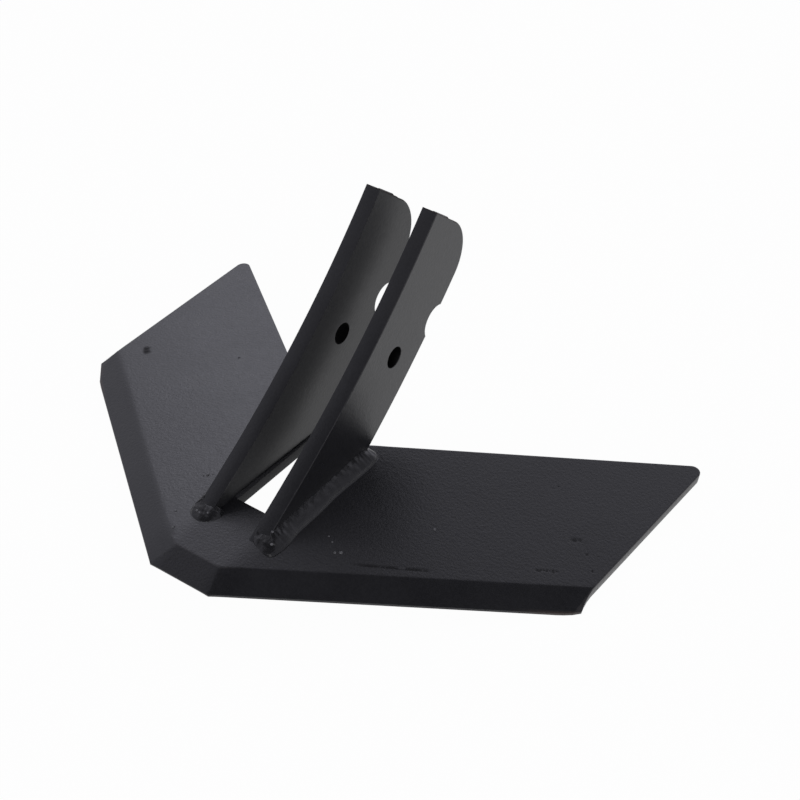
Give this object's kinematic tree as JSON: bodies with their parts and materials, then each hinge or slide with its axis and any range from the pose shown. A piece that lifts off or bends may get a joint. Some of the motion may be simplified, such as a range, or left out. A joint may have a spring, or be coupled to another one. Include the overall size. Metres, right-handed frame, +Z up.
{
  "type": "cultivator sweep",
  "caption": "Wide swept share with drooping bevelled wings and a blunt nose, and a pair of curved welded lugs that straddle a cultivator shank.",
  "frame": {"origin": "floor level, under the middle of the part's outline", "axes": "+X across the wings, -Y the way the nose points in work, +Z up with the middle strip level"},
  "size_m": [0.3, 0.2278, 0.1383],
  "materials": {
    "paint": "satin black paint over hot-rolled steel, thin at the cutting edges",
    "weld": "satin black paint over rippled weld metal"
  },
  "bodies": {
    "root": {"plate": "paint", "lug_left": "paint", "lug_right": "paint", "weld_left": "weld", "weld_right": "weld"}
  },
  "joints": []
}
